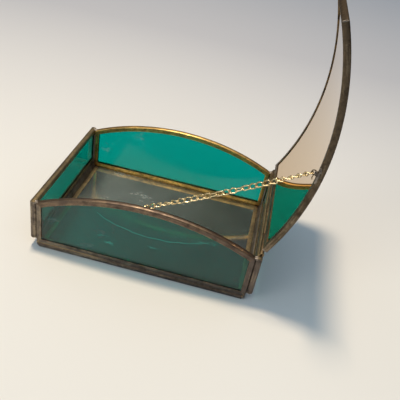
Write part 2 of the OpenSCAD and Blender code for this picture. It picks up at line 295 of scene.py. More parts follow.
class Graph:
    """Short ways to add nodes to one node tree."""

    def __init__(self, tree):
        self.tree = tree

    def add(self, kind, **values):
        node = self.tree.nodes.new("ShaderNode" + kind)
        for key, value in values.items():
            setattr(node, key, value)
        return node

    def feed(self, socket, value):
        if isinstance(value, bpy.types.NodeSocket):
            self.tree.links.new(value, socket)
        else:
            socket.default_value = value

    def place(self):
        return self.add("TexCoord").outputs["Object"]

    def axes(self):
        """The place again, as outputs X, Y and Z."""
        node = self.add("SeparateXYZ")
        self.feed(node.inputs[0], self.place())
        return node.outputs

    def stretched(self, where, scale, turn=(0.0, 0.0, 0.0)):
        mapping = self.add("Mapping")
        self.feed(mapping.inputs["Vector"], where)
        mapping.inputs["Rotation"].default_value = turn
        mapping.inputs["Scale"].default_value = scale
        return mapping.outputs["Vector"]

    def noise(self, where, scale, detail=2.0, roughness=0.5):
        """Noise of so many cells a metre."""
        node = self.add("TexNoise")
        self.feed(node.inputs["Vector"], where)
        self.feed(node.inputs["Scale"], scale)
        node.inputs["Detail"].default_value = detail
        node.inputs["Roughness"].default_value = roughness
        return node.outputs["Fac"]

    def math(self, operation, a, b=0.0):
        node = self.add("Math", operation=operation)
        self.feed(node.inputs[0], a)
        self.feed(node.inputs[1], b)
        return node.outputs[0]

    def spread(self, value, from_low, from_high, to_low=0.0, to_high=1.0):
        """Stretches a value from one range to another, and clamps it."""
        node = self.add("MapRange")
        node.inputs["From Min"].default_value = from_low
        node.inputs["From Max"].default_value = from_high
        self.feed(node.inputs["Value"], value)
        self.feed(node.inputs["To Min"], to_low)
        self.feed(node.inputs["To Max"], to_high)
        return node.outputs["Result"]

    def stripe(self, value, centre, core, edge, strength=1.0):
        """A stripe about a value, full in its core and faded out at its edge."""
        off = self.math("ABSOLUTE", self.math("SUBTRACT", value, centre))
        return self.spread(off, core, edge, strength, 0.0)

    def blend(self, share, a, b):
        """Colour a, and colour b where share is 1."""
        node = self.add("Mix", data_type="RGBA")
        self.feed(node.inputs[0], share)
        self.feed(node.inputs[6], a)
        self.feed(node.inputs[7], b)
        return node.outputs[2]

    def bump(self, height, strength, distance):
        node = self.add("Bump")
        node.inputs["Strength"].default_value = strength
        node.inputs["Distance"].default_value = distance
        self.feed(node.inputs["Height"], height)
        return node.outputs["Normal"]

    def group(self, tree, **values):
        """Adds a group. A space in the name of an input is written as _."""
        node = self.add("Group", node_tree=tree)
        for key, value in values.items():
            self.feed(node.inputs[key.replace("_", " ")], value)
        return node.outputs


def new_material(name):
    """A material with one Principled shader: (material, graph, shader inputs)."""
    material = bpy.data.materials.new(name)
    material.use_nodes = True
    return material, Graph(material.node_tree), material.node_tree.nodes["Principled BSDF"].inputs


# ---------------------------------------------------------------- shared effects

def edge_wear_group():
    """A mask that is 1 on rubbed edges and corners, and breaks up along them."""
    group, given, out = new_group("edge_wear", [("Amount", "Float", 1.0)], [("Mask", "Float")])
    g = Graph(group)
    bevel = g.add("Bevel", samples=6)
    g.feed(bevel.inputs["Radius"], 0.5 * MM)
    facing = g.add("VectorMath", operation="DOT_PRODUCT")
    g.feed(facing.inputs[0], bevel.outputs["Normal"])
    g.feed(facing.inputs[1], g.add("NewGeometry").outputs["Normal"])
    corner = g.spread(facing.outputs["Value"], 0.995, 0.86)
    broken = g.spread(g.noise(g.place(), 240, 4, 0.65), 0.42, 0.62)
    g.feed(out["Mask"], g.math("MULTIPLY", g.math("MULTIPLY", corner, broken), given["Amount"]))
    return group


def patina_group():
    """Aged metal: bright metal under a brown skin, with dark tarnish in blotches and fine pits."""
    group, given, out = new_group(
        "patina",
        [
            ("Metal", "Color", colour(0.8, 0.6, 0.3)),
            ("Skin", "Color", colour(0.3, 0.2, 0.1)),
            ("Tarnish", "Color", colour(0.05, 0.04, 0.03)),
            ("Skin Cover", "Float", 0.6),
            ("Lines", "Float", 0.5),
            ("Shine", "Float", 0.3),
        ],
        [("Colour", "Color"), ("Roughness", "Float"), ("Height", "Float")],
    )
    g = Graph(group)
    where = g.place()
    cloud = g.noise(where, 90, 4, 0.6)
    grain = g.noise(where, 900, 3, 0.6)
    fleck = g.noise(where, 2600, 2, 0.5)
    cover = g.spread(g.math("ADD", cloud, g.math("MULTIPLY", grain, 0.3)), 0.55, 0.8)
    lines = g.spread(given["Lines"], 0.36, 0.64, -0.5, 0.5)
    cover = g.math("ADD", g.math("ADD", cover, given["Skin Cover"]), lines)
    cover = g.math("MAXIMUM", g.math("MINIMUM", cover, 1.0), 0.0)
    shade = g.blend(cover, given["Metal"], given["Skin"])
    dark = g.spread(g.math("ADD", g.noise(where, 210, 5, 0.65), g.math("MULTIPLY", fleck, 0.2)), 0.58, 0.8)
    shade = g.blend(g.math("MULTIPLY", dark, 0.6), shade, given["Tarnish"])
    rough = g.math("ADD", g.spread(grain, 0.3, 0.7, 0.0, 0.16), given["Shine"])
    rough = g.math("ADD", rough, g.math("MULTIPLY", dark, 0.2))
    height = g.math("ADD", g.math("MULTIPLY", cloud, 0.6), g.math("MULTIPLY", grain, 0.12))
    height = g.math("ADD", height, g.math("MULTIPLY", fleck, 0.03))
    g.feed(out["Colour"], shade)
    g.feed(out["Roughness"], rough)
    g.feed(out["Height"], height)
    return group


def dust_group():
    """How much of a surface a thin film of dust, a few specks and wiped smears hide."""
    group, given, out = new_group(
        "dust", [("Film", "Float", 0.1), ("Smears", "Float", 0.3)], [("Mask", "Float")])
    g = Graph(group)
    where = g.place()
    film = g.spread(g.noise(where, 30, 5, 0.6), 0.2, 0.8, 0.5, 1.0)
    specks = g.spread(g.noise(where, 1400, 2, 0.6), 0.68, 0.74)
    smear = g.spread(g.noise(g.stretched(where, (0.6, 1.5, 1), (0, 0, 0.5)), 60, 6, 0.75), 0.6, 0.72)
    mask = g.math("MULTIPLY", g.math("ADD", film, g.math("MULTIPLY", specks, 0.8)), given["Film"])
    mask = g.math("ADD", mask, g.math("MULTIPLY", smear, given["Smears"]))
    g.feed(out["Mask"], g.math("MINIMUM", mask, 1.0))
    return group


EDGE_WEAR = edge_wear_group()
PATINA = patina_group()
DUST = dust_group()


# ---------------------------------------------------------------- materials

# A painted highlight along the foot of the front wall, where its edge catches the light: the height of the
# line, and where it fades out
FOOT_HIGHLIGHT_Z = 4.2 * MM
FOOT_HIGHLIGHT_X = (-50 * MM, -35 * MM)

# A long scratch on the floor mirror, bent like a shallow bowl about its lowest place. FADES gives where
# it starts, and where it grows faint.
SCRATCH_LOW = (-12.7 * MM, -21.5 * MM)
SCRATCH_BEND = 6.0
SCRATCH_WAVER = 3 * MM
SCRATCH_FADES = ((-65 * MM, -50 * MM), (-10 * MM, 35 * MM))


def brass(name, metal, skin, tarnish, cover, shine, wear, rub_and_highlight, drift=None, drawn=True, painted_foot_highlight=False):
    """Aged metal, whose edges wear to the given bright colour, which also colours the painted highlight
    line.

    drift gives an axis and the places along it where the metal is lightest and darkest, by less or more of
    its brown skin colour; on the front walls' strips and arch this is painted light, lighter to the left
    where the light comes from. drawn metal has lines along its strips. The foot highlight, where it is
    asked for, is a
    painted highlight: a bright line near the foot of the box, where its edge catches the light.
    """
    material, g, shader = new_material(name)
    # Painted light: the metal grows lighter or darker along an axis; on the front strips and arch it is
    # lighter to the left, where the light comes from.
    if drift:
        axis, thin, thick = drift
        cover = g.spread(g.axes()[axis], thin, thick, 0.0, cover)
    lines = 0.5
    if drawn:
        across = g.stretched(g.add("Attribute", attribute_name="drawn").outputs["Vector"], (1, 14, 14))
        lines = g.noise(across, 60, 3, 0.6)
    aged = g.group(
        PATINA, Metal=metal, Skin=skin, Tarnish=tarnish, Skin_Cover=cover, Lines=lines, Shine=shine)
    wear_and_highlight = g.group(EDGE_WEAR, Amount=wear)["Mask"]
    # Painted highlight: a bright line along the foot of the front wall, fading out to the right, where the
    # edge catches the light.
    if painted_foot_highlight:
        axes = g.axes()
        low = g.stripe(axes["Z"], FOOT_HIGHLIGHT_Z, 0.3 * MM, 0.6 * MM)
        left = g.spread(axes["X"], *FOOT_HIGHLIGHT_X, 0.9, 0.0)
        wear_and_highlight = g.math("MAXIMUM", wear_and_highlight, g.math("MULTIPLY", low, left))
    g.feed(shader["Base Color"], g.blend(wear_and_highlight, aged["Colour"], rub_and_highlight))
    g.feed(shader["Roughness"], g.math("SUBTRACT", aged["Roughness"], g.math("MULTIPLY", wear_and_highlight, 0.12)))
    shader["Metallic"].default_value = 1.0
    g.feed(shader["Normal"], g.bump(aged["Height"], 0.5, 0.1 * MM))
    return material


def teal_glass(name, tint, ior):
    """Tinted sheet glass with a slight wave. Lamps reach through it, so its shadow is tinted too."""
    material, g, shader = new_material(name)
    smears = g.spread(g.axes()["X"], -50 * MM, -20 * MM, 0.3, 0.05)
    marks = g.group(DUST, Film=0.0, Smears=smears)["Mask"]
    g.feed(shader["Base Color"], g.blend(marks, tint, colour(0.55, 0.8, 0.76)))
    g.feed(shader["Transmission Weight"], g.math("SUBTRACT", 1.0, marks))
    shader["Roughness"].default_value = 0.01
    shader["IOR"].default_value = ior
    g.feed(shader["Normal"], g.bump(g.noise(g.place(), 26, 1), 0.2, 0.3 * MM))
    lamp_pass = g.add("BsdfTransparent")
    lamp_pass.inputs["Color"].default_value = colour(0.25, 0.37, 0.42)
    mix = g.add("MixShader")
    g.feed(mix.inputs[0], g.add("LightPath").outputs["Is Shadow Ray"])
    g.feed(mix.inputs[1], material.node_tree.nodes["Principled BSDF"].outputs[0])
    g.feed(mix.inputs[2], lamp_pass.outputs[0])
    g.feed(material.node_tree.nodes["Material Output"].inputs["Surface"], mix.outputs[0])
    return material


def scratch_mask(g, axes, strength):
    """The floor mirror's scratch, as a mask."""
    low_x, low_y = SCRATCH_LOW
    start, end = SCRATCH_FADES
    bend = g.math("POWER", g.math("SUBTRACT", axes["X"], low_x), 2.0)
    off = g.math("SUBTRACT", g.math("SUBTRACT", axes["Y"], low_y), g.math("MULTIPLY", bend, SCRATCH_BEND))
    off = g.math("ADD", off, g.math("MULTIPLY", g.noise(g.place(), 90, 2), SCRATCH_WAVER))
    line = g.stripe(off, SCRATCH_WAVER / 2, 0.2 * MM, 0.6 * MM, strength)
    line = g.math("MULTIPLY", line, g.spread(axes["X"], *start))
    return g.math("MULTIPLY", line, g.spread(axes["X"], *end, 1.0, 0.2))


def mirror(name, tint, film, smears, dust, clear_from, clear_to, scratch=0.0):
    """A mirror whose dust and smears are the only dull part of it. The dust thins out towards +X, leaving
    the mirror darker there, and is thinned at the left end to paint a darker reflection there.
    """
    material, g, shader = new_material(name)
    axes = g.axes()
    drift = g.spread(axes["X"], clear_from, clear_to, film, 0.35 * film)
    # Painted reflection: less dust at the left end, so that the mirror shows darker there.
    drift = g.math("MULTIPLY", drift, g.spread(axes["X"], -88 * MM, -66 * MM, 0.3, 1.0))
    mask = g.group(DUST, Film=drift, Smears=smears)["Mask"]
    if scratch:
        mask = g.math("MINIMUM", g.math("ADD", mask, scratch_mask(g, axes, scratch)), 1.0)
    g.feed(shader["Base Color"], g.blend(mask, tint, dust))
    g.feed(shader["Metallic"], g.math("SUBTRACT", 1.0, mask))
    g.feed(shader["Roughness"], g.spread(mask, 0.0, 0.6, 0.02, 0.5))
    g.feed(shader["Normal"], g.bump(g.noise(g.place(), 14, 1), 0.1, 0.3 * MM))
    return material


def backing():
    """Painted backing of a mirror, with roller marks and scuffs."""
    material, g, shader = new_material("mirror_backing")
    where = g.place()
    roller = g.noise(g.stretched(where, (1, 8, 1)), 60, 3, 0.5)
    scuff = g.spread(g.noise(where, 260, 4, 0.7), 0.6, 0.7)
    shade = g.blend(roller, colour(0.07, 0.066, 0.06), colour(0.1, 0.095, 0.085))
    g.feed(shader["Base Color"], g.blend(g.math("MULTIPLY", scuff, 0.4), shade, colour(0.22, 0.21, 0.19)))
    g.feed(shader["Roughness"], g.spread(roller, 0.3, 0.7, 0.45, 0.7))
    g.feed(shader["Normal"], g.bump(g.noise(where, 1500, 2), 0.3, 0.05 * MM))
    return material


GOLD_RUB_AND_HIGHLIGHT = colour(0.85, 0.56, 0.22)
# The came brass in copies of different tone by place. The gold copy, on the back wall and the floor's back
# strip, is a painted highlight: brighter and more golden where the back's came catches the light.
GOLD_BRASS = brass(
    "came_brass_gold", colour(0.85, 0.54, 0.18), colour(0.48, 0.31, 0.11), colour(0.12, 0.085, 0.045),
    0.1, 0.3, 0.8, GOLD_RUB_AND_HIGHLIGHT)
OLIVE_BRASS = brass(
    "came_brass_olive", colour(0.4, 0.31, 0.17), colour(0.22, 0.175, 0.11), colour(0.09, 0.07, 0.045),
    0.2, 0.38, 0.8, GOLD_RUB_AND_HIGHLIGHT)
# The front arch: painted light, lighter to the left, where the light comes from.
ARCH_BRASS = brass(
    "came_brass_arch", colour(0.25, 0.18, 0.12), colour(0.135, 0.1, 0.08), colour(0.07, 0.052, 0.045),
    0.8, 0.38, 0.6, GOLD_RUB_AND_HIGHLIGHT, ("X", -0.04, 0.06))
# The front walls' brass: painted light, lighter to the left, and a painted highlight line along the foot of
# the front wall.
BROWN_BRASS = brass(
    "came_brass_brown", colour(0.3, 0.245, 0.18), colour(0.13, 0.105, 0.09), colour(0.05, 0.042, 0.038),
    0.9, 0.38, 0.6, GOLD_RUB_AND_HIGHLIGHT, ("X", -0.095, 0.02), painted_foot_highlight=True)
# The lid's strips are darker towards the top.
LID_BRASS = brass(
    "came_brass_lid", colour(0.28, 0.22, 0.15), colour(0.12, 0.09, 0.06), colour(0.045, 0.036, 0.028),
    0.9, 0.42, 0.6, GOLD_RUB_AND_HIGHLIGHT, ("Z", 0.04, 0.14))
HINGE_BRASS = brass(
    "hinge_brass", colour(0.42, 0.31, 0.16), colour(0.2, 0.145, 0.085), colour(0.05, 0.035, 0.025),
    0.3, 0.38, 0.7, GOLD_RUB_AND_HIGHLIGHT, drawn=False)
CHAIN_BRASS = brass(
    "chain_brass", colour(0.95, 0.8, 0.5), colour(0.78, 0.62, 0.34), colour(0.3, 0.2, 0.1),
    0.0, 0.2, 0.3, colour(1.0, 0.92, 0.7), drawn=False)
SOLDER = brass(
    "tin_solder", colour(0.35, 0.31, 0.27), colour(0.21, 0.18, 0.155), colour(0.07, 0.058, 0.05),
    0.3, 0.38, 0.35, colour(0.52, 0.47, 0.42), drawn=False)
# The back and end panes get darker copies of the same teal glass as painted shade, the end panes' much
# darker.
TEAL = teal_glass("teal_glass", colour(0.0, 0.38, 0.35), 1.52)
BACK_TEAL = teal_glass("teal_glass_back", colour(0.0, 0.34, 0.31), 1.32)
SHADED_END_TEAL = teal_glass("teal_glass_end_shaded", colour(0.0, 0.21, 0.17), 1.32)
FLOOR_MIRROR = mirror(
    "floor_mirror", colour(0.58, 0.64, 0.58), 0.26, 0.4, colour(0.3, 0.33, 0.28), -0.06, 0.03, 0.7)
LID_MIRROR = mirror(
    "lid_mirror", colour(0.66, 0.49, 0.3), 0.02, 0.02, colour(0.5, 0.45, 0.36), 0.0, 0.1)
BACKING = backing()


# ---------------------------------------------------------------- brass came

def divide_web(piece, test):
    """Cuts the edges that run across a web into rows."""
    pick(piece, "EDGE", test)
    bpy.ops.mesh.subdivide(number_cuts=DOME_ROWS - 1)
    done()


def bow(piece, start, end, inward):
    """Sinks a divided edge towards its two ends, so that the web stands proud in its middle."""
    for row in range(DOME_ROWS + 1):
        share = row / DOME_ROWS
        place = start.lerp(end, share)
        pick(piece, "VERT", lambda v: near((v.co - place).length, 0))
        bpy.ops.transform.translate(value=DOME * (2 * share - 1) ** 2 * inward)
        done()


def straight_came(length, width, far_cut=CAME_LEG):
    """U-shaped strip along X with its web at Y 0 and its legs towards +Y, mitred at both ends."""
    deselect()
    bpy.ops.mesh.primitive_cube_add(
        size=1, location=(length / 2, CAME_LEG / 2, width / 2), scale=(length, CAME_LEG, width))
    strip = adopt("came_strip")
    for end, shift in ((0, CAME_LEG), (length, -far_cut)):
        pick(strip, "VERT", lambda v: near(v.co.x, end) and near(v.co.y, CAME_LEG))
        bpy.ops.transform.translate(value=(shift, 0, 0))
        done()
    divide_web(strip, lambda e: runs(e, Z) and near(middle(e).y, 0))
    bow(strip, Vector(), width * Z, Vector((1, 1, 0)))
    bow(strip, length * X, length * X + width * Z, Vector((-far_cut / CAME_LEG, 1, 0)))
    pick(strip, "EDGE", lambda e: runs(e, X) and near(middle(e).y, DOME))
    bpy.ops.mesh.bevel(offset=EDGE_ROUND, segments=3, profile=0.5)
    done()
    pick(strip, "FACE", lambda f: f.normal.y > 0.9)
    bpy.ops.mesh.inset(thickness=CAME_T)
    bpy.ops.mesh.extrude_region_move(TRANSFORM_OT_translate={"value": (0, CAME_T - CAME_LEG, 0)})
    done()
    pick(strip, "EDGE", lambda e: runs(e, X) and near(middle(e).y, CAME_LEG))
    bpy.ops.mesh.bevel(offset=LEG_ROUND, segments=2, profile=0.5)
    done()
    return strip


def mark_drawn(strip, place):
    """Stores on every vertex where it lies along and across the strip, for the lines of its drawing."""
    drawn = strip.data.attributes.new("drawn", "FLOAT_VECTOR", "POINT")
    for vertex, value in zip(strip.data.vertices, drawn.data):
        value.vector = place(vertex.co)


def turned(along, across):
    """The turn that lays X along the first direction and Y along the second."""
    return Matrix((along, across, along.cross(across))).transposed().to_4x4()


def set_strip(strip, name, origin, along, inward, home=HOME):
    """Places a strip by its outer corner, the way it runs, and the way its legs point."""
    twin = copy_of(strip, name)
    mark_drawn(twin, lambda place: place + 3 * origin)
    put(twin, home @ Matrix.Translation(origin) @ turned(along, inward))
    smooth(twin)
    return twin


def swept_bar(name, radii, sides, angles, steps, web=None):
    """A bar swept about the arches' axis. Angles are measured from the crown towards the hinge.

    web gives the start and end of the bowed edge of its section, as (radius, y), and the way inwards.
    """
    low_r, high_r = radii
    low_y, high_y = sides
    radius = (low_r + high_r) / 2
    start, end = angles
    deselect()
    bpy.ops.mesh.primitive_plane_add(
        size=1,
        location=(radius * math.sin(start), (low_y + high_y) / 2, ARC_Z + radius * math.cos(start)),
        rotation=(0, start - math.pi / 2, 0))
    bpy.context.object.scale = (high_r - low_r, high_y - low_y, 1)
    bar = adopt(name)
    if web:
        first, last = (Vector((r * math.sin(start), y, ARC_Z + r * math.cos(start))) for r, y in web[:2])
        divide_web(bar, lambda e: near((middle(e) - first.lerp(last, 0.5)).length, 0))
        bow(bar, first, last, web[2])
    pick(bar, "FACE", lambda f: True)
    bpy.ops.mesh.spin(
        steps=steps, angle=end - start, center=(0, 0, ARC_Z), axis=(0, -1, 0), use_auto_merge=False)
    done()
    close_up(bar)
    return bar


def radius_of(place):
    return math.hypot(place.x, place.z - ARC_Z)


def trim(piece, point, outward):
    """Cuts off what lies beyond a plane, and closes the cut."""
    edit(piece, "FACE")
    bpy.ops.mesh.select_all(action="SELECT")
    bpy.ops.mesh.bisect(plane_co=point, plane_no=outward.normalized(), use_fill=True, clear_outer=True)
    done()


def along_arc(edge):
    """True if the edge runs round the arches' axis."""
    a, b = edge.verts[0].co, edge.verts[1].co
    return near(radius_of(a), radius_of(b)) and near(a.y, b.y) and not near((a - b).length, 0)


def unrolled(place):
    """A place on a bent strip as it lay before the strip was bent."""
    return Vector((LID_R * math.atan2(place.x, place.z - ARC_Z), place.y, radius_of(place)))


def round_and_hollow(strip, on_web, opening):
    """Rounds the long edges of a swept strip's web, and sinks the channel for the glass."""
    pick(strip, "EDGE", lambda e: along_arc(e) and on_web(middle(e)))
    bpy.ops.mesh.bevel(offset=EDGE_ROUND, segments=3, profile=0.5)
    done()
    pick(strip, "FACE", opening)
    bpy.ops.mesh.inset(thickness=CAME_T)
    bpy.ops.mesh.extrude_region_shrink_fatten(
        TRANSFORM_OT_shrink_fatten={"value": CAME_T - CAME_LEG, "use_even_offset": True})
    done()
    close_up(strip)
    mark_drawn(strip, unrolled)
    smooth(strip)


def arched_came():
    """The arched strip of a long wall, at the front."""
    half = math.asin(HALF_LEN / ARCH_R) + ARCH_SPARE / ARCH_R
    inwards = Vector((math.sin(half), 0, -math.cos(half)))
    web = ((ARCH_R, -OUT_Y), (ARCH_R, -IN_Y), inwards)
    strip = swept_bar("arched_came", (LEG_R, ARCH_R), (-OUT_Y, -IN_Y), (-half, half), ARCH_STEPS, web)
    for side in (-1, 1):
        corner = Vector((side * HALF_LEN, 0, SHOULDER_Z))
        trim(strip, corner, Vector((side * SHOULDER_CUT, 0, -CAME_LEG)))
    round_and_hollow(
        strip,
        lambda place: near(radius_of(place), ARCH_R - DOME),
        lambda f: near(radius_of(f.calc_center_median()), LEG_R))
    return strip


def lid_end_frame(angle, inwards):
    """Outward radial direction, and direction into the lid, at one end of the closed lid."""
    radial = Vector((math.sin(angle), 0, math.cos(angle)))
    into = inwards * Vector((math.cos(angle), 0, -math.sin(angle)))
    return radial, into


def lid_side_came(name, side):
    """The lid's curved strip along its front (side -1) or back (side 1), as the lid lies closed."""
    spare = LID_SPARE / LID_R
    web = side * LID_Y
    legs = side * (LID_Y - CAME_LEG)
    strip = swept_bar(
        name, (LID_R, LID_OUT_R), (min(web, legs), max(web, legs)), (FREE_A - spare, HINGE_A + spare),
        LID_STEPS, ((LID_R, web), (LID_OUT_R, web), -side * Y))
    for angle, inwards in ((FREE_A, 1), (HINGE_A, -1)):
        radial, into = lid_end_frame(angle, inwards)
        corner = Vector((0, web, ARC_Z)) + LID_R * radial
        trim(strip, corner, -into - side * Y)
    round_and_hollow(
        strip,
        lambda place: near(place.y, web - side * DOME),
        lambda f: near(f.calc_center_median().y, legs))
    put(strip, LID_HOME)
    return strip


def make_came():
    wall_h = SHOULDER_Z - WALL_Z
    end_h = END_TOP - END_Z
    end_x = HALF_LEN + CAME_W
    long_strip = straight_came(2 * HALF_LEN, CAME_W)
    post = straight_came(wall_h, CAME_W, SHOULDER_CUT)
    end_strip = straight_came(2 * OUT_Y, CAME_W)
    end_post = straight_came(end_h, CAME_W)
    floor_strip = straight_came(2 * FLOOR_HALF, FLOOR_W)
    floor_end = straight_came(2 * OUT_Y, FLOOR_W)
    lid_end = straight_came(2 * LID_Y, CAME_W)
    pieces = []

    def lay(strip, name, origin, along, inward, material):
        pieces.append((set_strip(strip, name + "_strip", Vector(origin), along, inward), name, material))

    for wall, y in (("front", -IN_Y), ("back", OUT_Y)):
        finish = BROWN_BRASS if wall == "front" else GOLD_BRASS
        lay(long_strip, wall + "_came_bottom", (-HALF_LEN, y, WALL_Z), X, Z, finish)
        lay(post, wall + "_came_left", (-HALF_LEN, y - CAME_W, WALL_Z), Z, X, finish)
        lay(post, wall + "_came_right", (HALF_LEN, y, WALL_Z), Z, -X, finish)
    for wall, x in (("left", -end_x), ("right", HALF_LEN)):
        lay(end_strip, wall + "_came_bottom", (x, -OUT_Y, END_Z), Y, Z, OLIVE_BRASS)
        lay(end_strip, wall + "_came_top", (x + CAME_W, -OUT_Y, END_TOP), Y, -Z, OLIVE_BRASS)
        lay(end_post, wall + "_came_front", (x + CAME_W, -OUT_Y, END_Z), Z, Y, BROWN_BRASS)
        lay(end_post, wall + "_came_back", (x, OUT_Y, END_Z), Z, -Y, OLIVE_BRASS)
    lay(floor_strip, "floor_came_front", (-FLOOR_HALF, -OUT_Y, 0), X, Y, BROWN_BRASS)
    lay(floor_strip, "floor_came_back", (-FLOOR_HALF, OUT_Y, FLOOR_W), X, -Y, GOLD_BRASS)
    lay(floor_end, "floor_came_left", (-FLOOR_HALF, -OUT_Y, FLOOR_W), Y, X, OLIVE_BRASS)
    lay(floor_end, "floor_came_right", (FLOOR_HALF, -OUT_Y, 0), Y, -X, OLIVE_BRASS)

    arch = arched_came()
    for wall, y, finish in (("front", 0, ARCH_BRASS), ("back", OUT_Y + IN_Y, GOLD_BRASS)):
        top = copy_of(arch, wall + "_came_top_strip")
        put(top, HOME @ Matrix.Translation((0, y, 0)))
        pieces.append((top, wall + "_came_top", finish))
    for piece, name, material in pieces:
        finish_piece(piece, "box", material, (name,))

    for name, angle, inwards, radius in (
            ("lid_came_free", FREE_A, 1, LID_OUT_R), ("lid_came_hinge", HINGE_A, -1, LID_R)):
        radial, into = lid_end_frame(angle, inwards)
        origin = Vector((0, -LID_Y, ARC_Z)) + radius * radial
        strip = set_strip(lid_end, name + "_strip", origin, Y, into, LID_HOME)
        finish_piece(strip, "lid", LID_BRASS, (name,))
    for name, side in (("lid_came_front", -1), ("lid_came_back", 1)):
        strip = lid_side_came(name + "_strip", side)
        finish_piece(strip, "lid", LID_BRASS, (name,))
    for master in (long_strip, post, end_strip, end_post, floor_strip, floor_end, lid_end, arch):
        bpy.data.objects.remove(master)


# ---------------------------------------------------------------- glass and mirrors

def bent_sheet(name, radii, edge):
    """A sheet bent to the lid's arc, so far in from the lid's edges, with its rim ground round."""
    shift = edge / LID_R
    half = LID_Y - edge
    sheet = swept_bar(name, radii, (-half, half), (FREE_A + shift, HINGE_A - shift), SHEET_STEPS)
    pick(sheet, "EDGE", lambda e: along_arc(e) and near(abs(middle(e).y), half))
    bpy.ops.mesh.bevel(offset=0.2 * (radii[1] - radii[0]), segments=2, profile=0.5)
    done()
    smooth(sheet, 12)
    put(sheet, LID_HOME)
    return sheet


def make_lid_glass():
    glass = bent_sheet("lid_mirror_sheet", (LID_R + GLASS_FACE, LID_OUT_R - GLASS_FACE), GLASS_EDGE)
    finish_piece(glass, "lid", LID_MIRROR, ("lid_mirror",))
    silver_r = LID_OUT_R - GLASS_FACE + SILVER_GAP
    silver = bent_sheet("lid_backing_sheet", (silver_r, silver_r + SILVER_T), SILVER_EDGE)
    finish_piece(silver, "lid", BACKING, ("lid_silvering",))


# ---------------------------------------------------------------- hinge

def tube(name, length, outer, inner):
    """A tube along Y from Y 0, with softened rims."""
    deselect()
    bpy.ops.mesh.primitive_plane_add(size=1, location=((outer + inner) / 2, length / 2, 0))
    bpy.context.object.scale = (outer - inner, length, 1)
    piece = adopt(name)
    pick(piece, "FACE", lambda f: True)
    bpy.ops.mesh.delete(type="ONLY_FACE")
    bpy.ops.mesh.select_mode(type="EDGE")
    bpy.ops.mesh.select_all(action="SELECT")
    bpy.ops.mesh.spin(steps=40, angle=math.tau, center=(0, 0, 0), axis=(0, 1, 0), use_auto_merge=True)
    done()
    close_up(piece)
    pick(piece, "EDGE", lambda e: near(e.verts[0].co.y, e.verts[1].co.y)
         and near(e.verts[0].co.xz.length, outer) and near(e.verts[1].co.xz.length, outer))
    bpy.ops.mesh.bevel(offset=0.22 * MM, segments=3, profile=0.5)
    done()
    smooth(piece)
    return piece


def small_bar(name, low, high, round_by):
    """A small bar between two corners, with all its edges softened."""
    deselect()
    bpy.ops.mesh.primitive_cube_add(size=1, location=(Vector(low) + Vector(high)) / 2)
    bpy.context.object.scale = Vector(high) - Vector(low)
    piece = adopt(name)
    pick(piece, "EDGE", lambda e: True)
    bpy.ops.mesh.bevel(offset=round_by, segments=3, profile=0.5)
    done()
    smooth(piece)
    return piece


def lid_leaf_reach():
    """From the hinge axis to the web of the lid's end strip, at the height of the leaf."""
    radial, into = lid_end_frame(HINGE_A, -1)
    height = HINGE.z + KNUCKLE_R - ARC_Z
    return HINGE.x - (LID_R - (LID_R * radial.z - height) / radial.z) * radial.x


def make_hinge():
    barrel = tube("barrel", KNUCKLE_LEN, KNUCKLE_R, BORE_R)
    reach = lid_leaf_reach()
    box_parts = []
    lid_parts = []
    for k in range(KNUCKLE_N):
        at = Vector((HINGE.x, -TUBE_LEN / 2 + k * (KNUCKLE_LEN + KNUCKLE_GAP), HINGE.z))
        piece = copy_of(barrel, f"knuckle_{k}")
        if k % 2 == 0:
            put(piece, HOME @ Matrix.Translation(at))
            foot = small_bar(
                f"foot_{k}", (-FOOT_W / 2, PLATE_SHORT, -KNUCKLE_R),
                (FOOT_W / 2, KNUCKLE_LEN - PLATE_SHORT, -BORE_R - 0.1 * MM), 0.3 * MM)
            put(foot, HOME @ Matrix.Translation(at))
            box_parts += [piece, foot]
        else:
            put(piece, LID_HOME @ Matrix.Translation(at))
            leaf = small_bar(
                f"leaf_{k}", (-reach, PLATE_SHORT, KNUCKLE_R - LEAF_T),
                (-PLATE_SHORT, KNUCKLE_LEN - PLATE_SHORT, KNUCKLE_R - 0.02 * MM), 0.25 * MM)
            put(leaf, LID_HOME @ Matrix.Translation(at))
            lid_parts += [piece, leaf]
    bpy.data.objects.remove(barrel)
    box_side = join("hinge_barrel_box", box_parts)
    lid_side = join("hinge_barrel_lid", lid_parts)
    finish_piece(box_side, "box", HINGE_BRASS, ("hinge_knuckles_box",))
    finish_piece(lid_side, "lid", HINGE_BRASS, ("hinge_knuckles_lid",))


# ---------------------------------------------------------------- stay chain

def chain_link():
    """One flat link along X from its middle, an oval ring of wire."""
    bend_r = (LINK_W - LINK_WIRE) / 2
    straight = LINK_LEN - 2 * bend_r
    deselect()
    bpy.ops.mesh.primitive_circle_add(
        vertices=10, radius=LINK_WIRE / 2, fill_type="NOTHING",
        location=(straight / 2, -bend_r, 0), rotation=(0, math.pi / 2, 0))
    link = adopt("chain_link")
    pick(link, "EDGE", lambda e: True)
    for side in (1, -1):
        bpy.ops.mesh.spin(
            steps=8, angle=math.pi, center=(side * straight / 2, 0, 0), axis=(0, 0, -1),
            use_auto_merge=False)
        for _ in range(4):
            bpy.ops.mesh.extrude_region_move(
                TRANSFORM_OT_translate={"value": (-side * straight / 4, 0, 0)})
    done()
    close_up(link)
    smooth(link, 60)
    return link


def twist(link, first, last):
    """Turns a link's two ends about its length by two angles, with the wire between them in step."""
    reach = LINK_LEN - (LINK_W - LINK_WIRE) / 2
    for vertex in link.data.vertices:
        share = 0.5 + max(-0.5, min(0.5, vertex.co.x / reach))
        vertex.co = Matrix.Rotation(first + (last - first) * share, 3, "X") @ vertex.co


